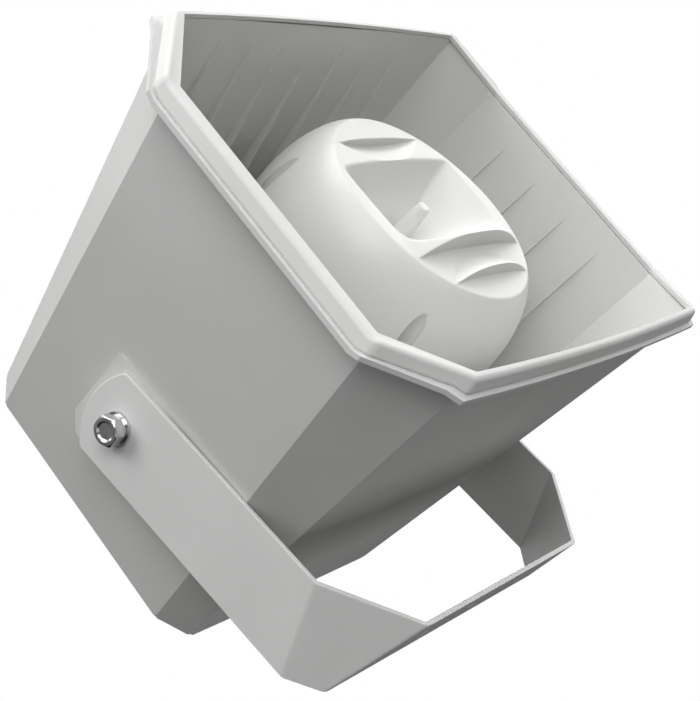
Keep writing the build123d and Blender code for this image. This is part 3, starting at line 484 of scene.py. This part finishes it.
# Moulded nylon: green and satin
terminal_nylon = surface("terminal_nylon", "1c5a38", "246845", 0.45, 20.0, 0.8, 0.02)
give(core_laminations, "transformer_core")
give(winding_tape, "transformer_winding")
give(solder_mask, "crossover_board")
give(capacitor_sleeve, "crossover_capacitor")
give(terminal_nylon, "terminal_block")

# Fasteners: screws of cold-headed steel that hold the covers, the baffle, the drivers and the
# electrics, and two turned brass inserts in the housing's bosses that take the pivot bolts.

# Bright zinc plate on steel: a hard mirror-like shine that wanders a little
bright_plate = surface("bright_plate", "b9b9bc", "dededf", 0.22, 9.0, 0.8, 0.012, metallic=1.0, spread=0.1)
# Turned brass: yellow metal with a soft shine
turned_brass = surface("turned_brass", "b08f4a", "cfb06a", 0.3, 12.0, 0.5, 0.02, metallic=1.0)
give(bright_plate, "rear_cover_screws", "baffle_screws", "dome_screws", "carrier_screws", "hf_screws",
     "woofer_screws", "transformer_screws", "board_screws")
give(turned_brass, "pivot_inserts")

# Pivot hardware: on each side a forged hex bolt with a spring washer and a flat washer, all of
# bright plated steel. The bolt clamps the bracket's arm to the housing, and when it is loosened the
# housing turns about it. The edges are worn round by tumbling.
tumbled_turn = 40


def is_any_edge(start, end):
    """Every edge, wherever it is."""
    return True


for node, piece_name, worn_radius in (("pivot_bolts", "pivot_hex_bolts", 0.35),
                                      ("flat_washers", "pivot_flat_washers", 0.3),
                                      ("spring_washers", "pivot_spring_washers", 0.3)):
    hardware = take_form(node, piece_name)
    round_edges(hardware, worn_radius, 2, is_any_edge, sharp=tumbled_turn)
    finish_piece(hardware, "horn", "plated_steel", bright_plate, node)

# Bracket: one 3 mm steel sheet, cut, punched and folded into a base and two leaning arms, then
# powder coated. It is bolted down through its base and carries the housing on its arms' ends.

# Baked powder coat: pale grey with a broad soft highlight. Its orange peel is about 1.5 mm across,
# and it draws thin over the cut edges, so they look a little round.
powder_coat = surface("powder_coat", "d4d5d3", "d9dad8", 0.42, 80.0, 1.5, 0.012)
coated_edge_radius = 0.5
coated_edge_turn = 40
sheet = take_form("bracket", "folded_bracket")
round_edges(sheet, coated_edge_radius, 3, is_any_edge, sharp=coated_edge_turn)
finish_piece(sheet, "bracket", "bracket_paint", powder_coat, "bracket")

# Studio: a pale floor well below the hung part and a white surround, which only the camera sees,
# and large soft lights all round that do the lighting
floor_depth = -0.42
floor_radius = 2.4
floor_glow = 0.45
bpy.ops.mesh.primitive_circle_add(vertices=96, radius=floor_radius, fill_type="NGON",
                                  location=(0, 0, floor_depth))
floor = bpy.context.object
floor.name = "studio_floor"
bpy.ops.object.transform_apply()
# Matt paint: white without a highlight, and made to glow so that it meets the white surround
floor_paint = surface("floor_paint", "f4f4f4", "f6f6f6", 0.9, 900.0, 20.0, 0.0, specular=0.1)
floor_shader = floor_paint.node_tree.nodes["Principled BSDF"]
floor_shader.inputs["Emission Color"].default_value = (1, 1, 1, 1)
floor_shader.inputs["Emission Strength"].default_value = floor_glow
floor.data.materials.append(floor_paint)
floor.visible_diffuse = False
floor.visible_glossy = False
floor.visible_shadow = False

# The camera sees white all round; what shines sees a room that is dark below and pale above
world = bpy.data.worlds.new("studio")
scene.world = world
world.use_nodes = True
world.cycles_visibility.diffuse = False
sky = world.node_tree
paper = sky.nodes["Background"]
paper.inputs["Color"].default_value = (1, 1, 1, 1)
way = add_node(sky, "ShaderNodeTexCoord").outputs["Generated"]
heading = add_node(sky, "ShaderNodeSeparateXYZ", {"Vector": way})
fall = add_node(sky, "ShaderNodeMapRange", {
    "Value": heading.outputs["Z"], "From Min": -0.1, "From Max": 0.6, "To Min": 0.03, "To Max": 0.35})
room = add_node(sky, "ShaderNodeBackground", {"Color": fall.outputs["Result"]})
seen_by = add_node(sky, "ShaderNodeLightPath")
choice = add_node(sky, "ShaderNodeMixShader", {
    "Fac": seen_by.outputs["Is Camera Ray"], 1: room.outputs["Background"], 2: paper.outputs["Background"]})
sky.links.new(choice.outputs["Shader"], sky.nodes["World Output"].inputs["Surface"])

# Each light's place and width in metres, and its power in watts
light_aim = Vector((0, 0, 0.18))
lights = {
    "top": ((0, 0, 2.3), 1.6, 13.5),
    "top_front": ((0, -1.1, 1.9), 1.4, 29.0),
    "front_low": ((0.1, -2.1, -0.3), 1.2, 13.5),
    "left_front": ((-1.6, -1.5, 0.6), 1.2, 23.5),
    "left_top": ((-1.5, 0, 1.8), 1.2, 23.5),
    "left_low": ((-1.8, -0.6, -0.9), 1.2, 3.0),
    "right": ((2.2, -0.3, 0.6), 1.2, 15.0),
    "right_front": ((1.5, -1.6, 0.7), 1.2, 9.0),
    "right_top": ((1.5, -0.3, 1.7), 1.2, 14.0),
    "under": ((0, 0, -1.8), 1.6, 7.5),
    "back": ((1.3, 1.9, 0.4), 1.2, 16.0),
}
for name, (place, width, power) in lights.items():
    lamp = bpy.data.lights.new(name, "AREA")
    lamp.size = width
    lamp.energy = power
    holder = bpy.data.objects.new(name, lamp)
    scene.collection.objects.link(holder)
    holder.location = place
    holder.rotation_euler = (light_aim - Vector(place)).to_track_quat("-Z", "Y").to_euler()
    holder.visible_camera = False

# Camera: low and to the left of the mouth, rolled as in the photograph. Its place, in metres, and
# the picture's three directions are given on the horn.
camera = bpy.data.cameras.new("camera")
camera.lens = 78.09
camera.sensor_width = 36.0
camera.shift_x = 0.0262
camera.shift_y = 0.0154
camera.clip_start = 0.05
camera.clip_end = 50.0
viewer = bpy.data.objects.new("camera", camera)
scene.collection.objects.link(viewer)
camera_place = Vector((-0.7893, -0.2755, 0.3394))
right = Vector((0.548, -0.595, 0.589))
down = Vector((-0.137, -0.758, -0.638))
forward = Vector((0.825, 0.268, -0.497))
turn = horn_axes.to_3x3() @ Matrix((right, -down, -forward)).transposed()
viewer.matrix_world = Matrix.Translation(horn_axes @ camera_place) @ turn.to_4x4()
scene.camera = viewer
scene.view_settings.view_transform = "Standard"
